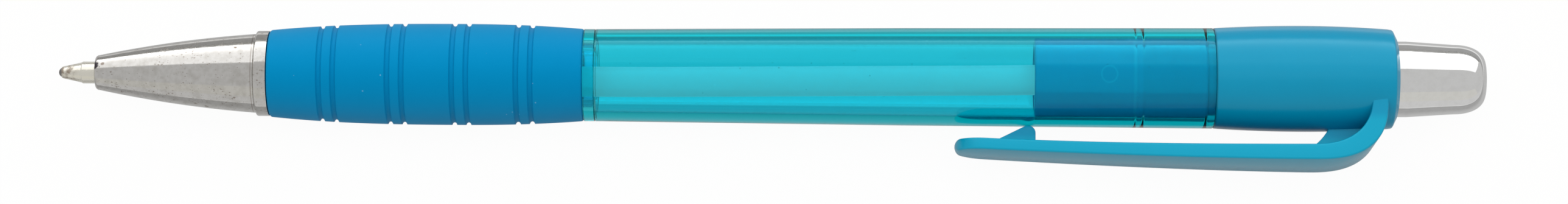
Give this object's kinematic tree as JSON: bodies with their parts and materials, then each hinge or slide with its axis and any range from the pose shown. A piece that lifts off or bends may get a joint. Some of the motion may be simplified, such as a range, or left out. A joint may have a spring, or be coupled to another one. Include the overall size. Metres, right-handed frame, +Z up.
{
  "type": "retractable ballpoint pen",
  "caption": "Retractable ballpoint pen with a chrome nose cone and push button, a grooved rubber grip, a translucent tapered barrel, and a cap moulded in one with its arched pocket clip.",
  "frame": {"origin": "on the surface that the pen lies on, under the middle of its bounding box", "axes": "+X along the pen from the writing point to the push button, +Z up; the clip points to -Y, turned a little below level, so that the pen rests on its cap and on the edge of its clip"},
  "size_m": [0.142, 0.0144, 0.0105],
  "materials": {
    "chrome_plate": "bright chrome plating, with small tarnish pits on the nose cone",
    "grip_rubber": "soft blue rubber, matte",
    "aqua_barrel": "translucent aqua plastic, glossy",
    "blue_cap": "opaque blue plastic with a satin, faintly grained surface",
    "teal_plunger": "opaque plastic as moulded",
    "white_plastic": "white plastic as moulded",
    "spring_steel": "drawn steel wire, bright",
    "nickel_silver": "nickel silver, turned, with ink stains on the cone",
    "ball_carbide": "ground hard ball, wet with ink",
    "black_ink": "thick black ink",
    "pale_grease": "pale clear grease"
  },
  "bodies": {
    "housing": {"nose_cone": "chrome_plate", "front_section": "aqua_barrel", "grip_sleeve": "grip_rubber", "barrel_tube": "aqua_barrel", "cap_body": "blue_cap", "return_spring": "spring_steel"},
    "button": {"button_shell": "chrome_plate", "plunger_core": "teal_plunger"},
    "refill": {"refill_tube": "white_plastic", "tip_holder": "white_plastic", "refill_tip": "nickel_silver", "ink_column": "black_ink", "grease_plug": "pale_grease"},
    "rotor": {"cam_rotor": "white_plastic"},
    "ball": {"writing_ball": "ball_carbide"}
  },
  "joints": [
    {"name": "button_slide", "type": "slide", "parent": "housing", "child": "button", "axis": [1, 0, 0], "range_m": [-0.0018, 0.005]},
    {"name": "refill_slide", "type": "slide", "parent": "housing", "child": "refill", "axis": [1, 0, 0], "range_m": [-0.0018, 0.005], "deforming": ["return_spring"]},
    {"name": "rotor_turn", "type": "hinge", "parent": "refill", "child": "rotor", "pos_m": [0.038, 0.00199, 0.00527], "axis": [1, 0, 0], "continuous": true},
    {"name": "ball_roll", "type": "hinge", "parent": "refill", "child": "ball", "pos_m": [-0.07047, 0.00199, 0.00527], "axis": [0, 1, 0], "continuous": true}
  ],
  "couplings": [
    {"joint": "refill_slide", "follows": "button_slide", "ratio": 1}
  ]
}
